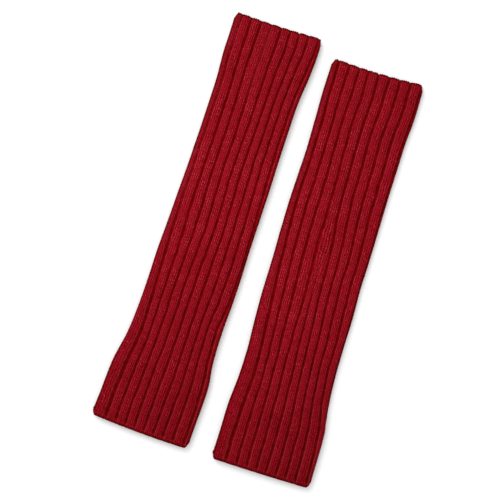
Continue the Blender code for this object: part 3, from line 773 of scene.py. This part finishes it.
def washedWoolYarn(s):
    material, tree, shader, add = newMaterial("washedWoolYarn", woolSurface(s))
    calc, ramp, mix, noise = "ShaderNodeMath", "ShaderNodeMapRange", "ShaderNodeMix", "ShaderNodeTexNoise"
    soft = {"interpolation_type": "SMOOTHSTEP"}
    most = {"From Min": 0.25, "From Max": 0.75}     # where most of a noise lies
    stored = {name: add("ShaderNodeAttribute", attribute_name=name).outputs["Fac"] for name in (
        "waleAt", "courseAt", "ribAt", "ribHeight", "toneAt", "foldLight", "edgeLight", "rimAt")}
    place = add("ShaderNodeTexCoord").outputs["Object"]
    hairs = add(noise, {
        "Vector": place, "Scale": 1.0 / (s["hairSize"] * mm), "Detail": 3.0, "Roughness": 0.65})
    patches, sway, felted, grain = [
        add(noise, {"Vector": place, "Scale": 1.0 / (s[size] * mm), "Detail": detail}) for size, detail in (
            ("dyePatch", 2.0), ("strayFrom", 2.0), ("plainPatch", 1.0), ("grooveGrain", 1.0))]
    swayed, grained = [add("ShaderNodeSeparateXYZ", {0: each.outputs["Color"]}) for each in (sway, grain)]

    # every wale is a soft column of painted strokes of light, one to a stitch, and no two lie alike
    moved = []
    for axis, size, name in zip("XY", s["stray"], ("waleAt", "courseAt")):
        stray = add(ramp, {"Value": swayed.outputs[axis], **most, "To Min": -size, "To Max": size})
        moved.append(add(calc, {0: stray, 1: stored[name]}, operation="ADD"))
    wale, course = moved
    number = add(calc, {0: wale}, operation="FLOOR")
    across = add(calc, {0: wale}, operation="FRACT")
    start = add("ShaderNodeTexWhiteNoise", {"W": number}, noise_dimensions="1D").outputs["Value"]
    passed = add(calc, {0: course, 1: start}, operation="ADD")
    row = add(calc, {0: passed}, operation="FLOOR")
    along = add(calc, {0: passed}, operation="FRACT")
    stitch = add("ShaderNodeCombineXYZ", {"X": number, "Y": row})
    white = add("ShaderNodeTexWhiteNoise", {"Vector": stitch}, noise_dimensions="3D")
    chance = add("ShaderNodeSeparateXYZ", {0: white.outputs["Color"]})
    lean = add(ramp, {
        "Value": chance.outputs["X"], "To Min": s["strokeLean"][0], "To Max": s["strokeLean"][1]})
    own = add(ramp, {
        "Value": chance.outputs["Y"], "To Min": 1.0 - s["strokeChange"], "To Max": 1.0 + s["strokeChange"]})
    fromMiddle = add(calc, {0: along, 1: 0.5}, operation="SUBTRACT")
    leaning = add(calc, {0: fromMiddle, 1: lean, 2: across}, operation="MULTIPLY_ADD")
    off = add(calc, {0: leaning, 1: 0.5}, operation="SUBTRACT")
    side = add(calc, {0: off}, operation="ABSOLUTE")
    end = add(calc, {0: fromMiddle}, operation="ABSOLUTE")
    width = add(ramp, {"Value": side, "From Max": 0.5, "To Min": 1.0, "To Max": 0.0}, **soft)
    length = add(ramp, {
        "Value": end, "From Min": 0.15, "From Max": 0.5, "To Min": 1.0, "To Max": s["strokeEnd"]}, **soft)
    clear = add(ramp, {"Value": felted, "From Min": 0.35, "From Max": 0.65,
                       "To Min": s["plainest"], "To Max": 2.0 - s["plainest"]})
    toneStrokeShare = add(calc, {0: stored["toneAt"], 1: s["strokeByTone"], 2: 1.0}, operation="MULTIPLY_ADD")
    clear = add(calc, {0: clear, 1: toneStrokeShare}, operation="MULTIPLY")
    stroke = add(calc, {0: width, 1: length}, operation="MULTIPLY")
    level = add(calc, {0: stroke, 1: own, 2: -s["strokeMean"]}, operation="MULTIPLY_ADD")
    level = add(calc, {0: level, 1: clear}, operation="MULTIPLY")
    level = add(calc, {0: level, 1: s["strokeLight"], 2: s["level"]}, operation="MULTIPLY_ADD")
    halfTurn = add(calc, {0: across, 1: math.pi}, operation="MULTIPLY")
    column = add(calc, {0: halfTurn}, operation="SINE")
    level = add(calc, {0: column, 1: s["columnLight"], 2: level}, operation="MULTIPLY_ADD")

    # more light or shade: plies, dye and hairs, and painted shade on a rib's first and last wale
    plies = (knitSet["waleWidth"] / s["strand"][0], knitSet["courseLength"] / s["strand"][1], 1.0)
    laid = add("ShaderNodeCombineXYZ", {"X": wale, "Y": course})
    fine = add("ShaderNodeVectorMath", {0: laid, 1: plies}, operation="MULTIPLY")
    strands = add(noise, {
        "Vector": fine, "Scale": 1.0, "Detail": 1.0, "Distortion": s["strandCurl"]}, noise_dimensions="2D")
    parts = [stored["toneAt"]]
    for value, low, size in ((patches, 0.3, s["dyeChange"]), (hairs, 0.25, s["hairChange"]),
                             (strands, 0.25, s["strandChange"])):
        parts.append(add(ramp, {
            "Value": value, "From Min": low, "From Max": 1.0 - low, "To Min": -size, "To Max": size}))
    parts.append(add(ramp, {
        "Value": stored["ribAt"], "From Max": s["flankTo"], "To Min": -s["flankDark"], "To Max": 0.0},
        **soft))
    fromShoulder = add(calc, {0: stored["ribAt"], 1: s["shoulderAt"]}, operation="SUBTRACT")
    size = add(calc, {0: fromShoulder}, operation="ABSOLUTE")
    parts.append(add(ramp, {
        "Value": size, "From Max": s["shoulderWide"], "To Min": s["shoulderLight"], "To Max": 0.0}, **soft))
    for part in parts:
        level = add(calc, {0: level, 1: part}, operation="ADD")
    yarn = add(mix, {0: level, 6: linear(s["shade"]), 7: linear(s["lit"])}, data_type="RGBA").outputs[2]
    # a painted highlight, pinkish, on the lightest strokes
    pale = add(ramp, {"Value": level, "From Min": s["paintedHighlightFrom"], "From Max": s["paintedHighlightTo"]}, **soft)
    yarn = add(mix, {0: pale, 6: yarn, 7: linear(s["paintedHighlight"])}, data_type="RGBA").outputs[2]
    # painted sheen along both sides of each rib, stronger where the tone is darker
    toneSheenShare = add(calc, {0: stored["toneAt"], 1: -s["paintedSheenByTone"], 2: 1.0}, operation="MULTIPLY_ADD")
    for at, wide, amount in s["paintedSheenSides"]:
        away = add(calc, {0: stored["ribAt"], 1: at}, operation="SUBTRACT")
        size = add(calc, {0: away}, operation="ABSOLUTE")
        sheenBand = add(ramp, {"Value": size, "From Max": wide, "To Min": amount, "To Max": 0.0}, **soft)
        paintedSheen = add(calc, {0: sheenBand, 1: toneSheenShare}, operation="MULTIPLY", use_clamp=True)
        yarn = add(mix, {0: paintedSheen, 6: yarn, 7: linear(s["paintedSheen"])}, data_type="RGBA").outputs[2]

    # painted shade: dark between the ribs, over the folds and at the cuff edge
    ragged = add(ramp, {
        "Value": grained.outputs["X"], **most, "To Min": -s["grooveStray"], "To Max": s["grooveStray"]})
    dome = add(calc, {0: stored["ribHeight"], 1: 2.0}, operation="POWER")
    dome = add(calc, {0: dome, 1: ragged}, operation="ADD")
    light = add(ramp, {"Value": dome, "From Min": s["ribFrom"], "From Max": s["ribTo"]}, **soft)
    lip = add(ramp, {"Value": stored["edgeLight"], "To Min": 1.0 - s["lipDark"]})
    for factor in (stored["foldLight"], lip):
        light = add(calc, {0: light, 1: factor}, operation="MULTIPLY")
    change = add(ramp, {"Value": grained.outputs["Y"], **most,
                        "To Min": 1.0 - s["grooveChange"], "To Max": 1.0 + s["grooveChange"]})
    deeper = add(calc, {0: stored["toneAt"], 1: s["grooveTone"], 2: change}, operation="MULTIPLY_ADD")
    groove = add("ShaderNodeVectorMath", {0: linear(s["groove"])[:3], "Scale": deeper}, operation="SCALE")
    cloth = add(mix, {0: light, 6: groove, 7: yarn}, data_type="RGBA").outputs[2]
    colour = add(mix, {0: stored["rimAt"], 6: cloth, 7: linear(s["rim"])}, data_type="RGBA").outputs[2]
    tree.links.new(colour, shader.inputs["Base Color"])

    # bump in mm: the strokes and the hairs
    height = add(calc, {0: stroke, 1: s["strokeHeight"]}, operation="MULTIPLY")
    height = add(calc, {0: hairs, 1: s["hairBump"], 2: height}, operation="MULTIPLY_ADD")
    bump = add("ShaderNodeBump", {"Height": height, "Strength": 1.0, "Distance": mm})
    tree.links.new(bump.outputs[0], shader.inputs["Normal"])
    return material


def castOnYarn(s):
    # the same wool in the edge chain, painted darker with the shade at the cuff edge; its strokes are gone
    material, tree, shader, add = newMaterial("castOnWoolYarn", woolSurface(s))
    place = add("ShaderNodeTexCoord").outputs["Object"]
    hairs = add("ShaderNodeTexNoise", {
        "Vector": place, "Scale": 1.0 / (s["hairSize"] * mm), "Detail": 3.0, "Roughness": 0.65})
    level = add("ShaderNodeMapRange", {"Value": hairs, "From Min": 0.3, "From Max": 0.7})
    colour = add("ShaderNodeMix", {
        0: level, 6: linear(s["rim"]), 7: linear(s["chain"])}, data_type="RGBA").outputs[2]
    tree.links.new(colour, shader.inputs["Base Color"])
    bump = add("ShaderNodeBump", {"Height": hairs, "Strength": 1.0, "Distance": s["hairBump"] * mm})
    tree.links.new(bump.outputs[0], shader.inputs["Normal"])
    return material


# Table: opal acrylic board, lit faintly from below. It gives the eye nothing but the cloth's soft shadow.
tableSet = {
    "colour": "#F4F4F4", "glow": 0.145, "roughness": 0.75,
    "size": 8.0, "below": 0.05 * mm,        # it doesn't quite touch the cloth's flat underside
}


def opalAcrylic(s):
    return newMaterial("opalAcrylicBoard", {
        "Base Color": linear(s["colour"]), "Roughness": s["roughness"], "Specular IOR Level": 0.0,
        "Emission Color": (1.0, 1.0, 1.0, 1.0), "Emission Strength": s["glow"]})[0]


def layTable(s):
    half = 0.5 * s["size"]
    mesh = bpy.data.meshes.new("whiteTable")
    corners = [(-half, -half, 0), (half, -half, 0), (half, half, 0), (-half, half, 0)]
    mesh.from_pydata(corners, [], [(0, 1, 2, 3)])
    mesh.materials.append(opalAcrylic(s))
    table = addPiece("whiteTable", mesh)
    table.location.z = -s["below"]
    print("table laid")
    return table


# Light: a large softbox at the picture's upper left, and white walls all round.
lightSet = {
    "towards": 120.0,       # degrees from the picture's right, so at its upper left
    "height": 42.0,         # degrees above the table
    "distance": 3.0, "size": 2.2,
    "watts": 54.5,
    "walls": 0.77,
}


def placeLight(s):
    data = bpy.data.lights.new("softbox", "AREA")
    data.shape, data.size, data.energy = "SQUARE", s["size"], s["watts"]
    softbox = bpy.data.objects.new("softbox", data)
    turn = math.radians(s["towards"] + cameraSet["turn"])
    rise = math.radians(s["height"])
    aim = Vector((*cameraSet["over"], 0.0))
    way = Vector((math.cos(turn) * math.cos(rise), math.sin(turn) * math.cos(rise), math.sin(rise)))
    softbox.location = aim + way * s["distance"]
    softbox.rotation_euler = way.to_track_quat("Z", "Y").to_euler()
    scene.collection.objects.link(softbox)
    world = bpy.data.worlds.new("whiteWalls")
    world.use_nodes = True
    background = world.node_tree.nodes["Background"]
    background.inputs["Color"].default_value = (1.0, 1.0, 1.0, 1.0)
    background.inputs["Strength"].default_value = s["walls"]
    scene.world = world
    scene.view_settings.view_transform = "Standard"
    print("softbox and white walls placed")


table = layTable(tableSet)
placeLight(lightSet)
yarn, edgeYarn = washedWoolYarn(yarnSet), castOnYarn(yarnSet)
print("yarns made:", yarn.name, edgeYarn.name)
reliefTree, chainTree = knitReliefTree(), cuffChainTree()
for leg in (leftLeg, rightLeg):
    tube, flat, rings, loops = buildTube(leg, knitSet)
    axis = (*turned(leg)[:, 1], 0.0)
    applyTree(tube, reliefTree, dict(reliefSet, **{"Along the leg": axis, "Yarn": yarn}))
    chain = layChain(leg["node"] + "_cuff_edges", rings)
    applyTree(chain, chainTree, dict(chainSet, **{"Loops": loops, "Yarn": edgeYarn}))
    for piece in (tube, chain):
        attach(piece, "root")
        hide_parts(leg["node"])
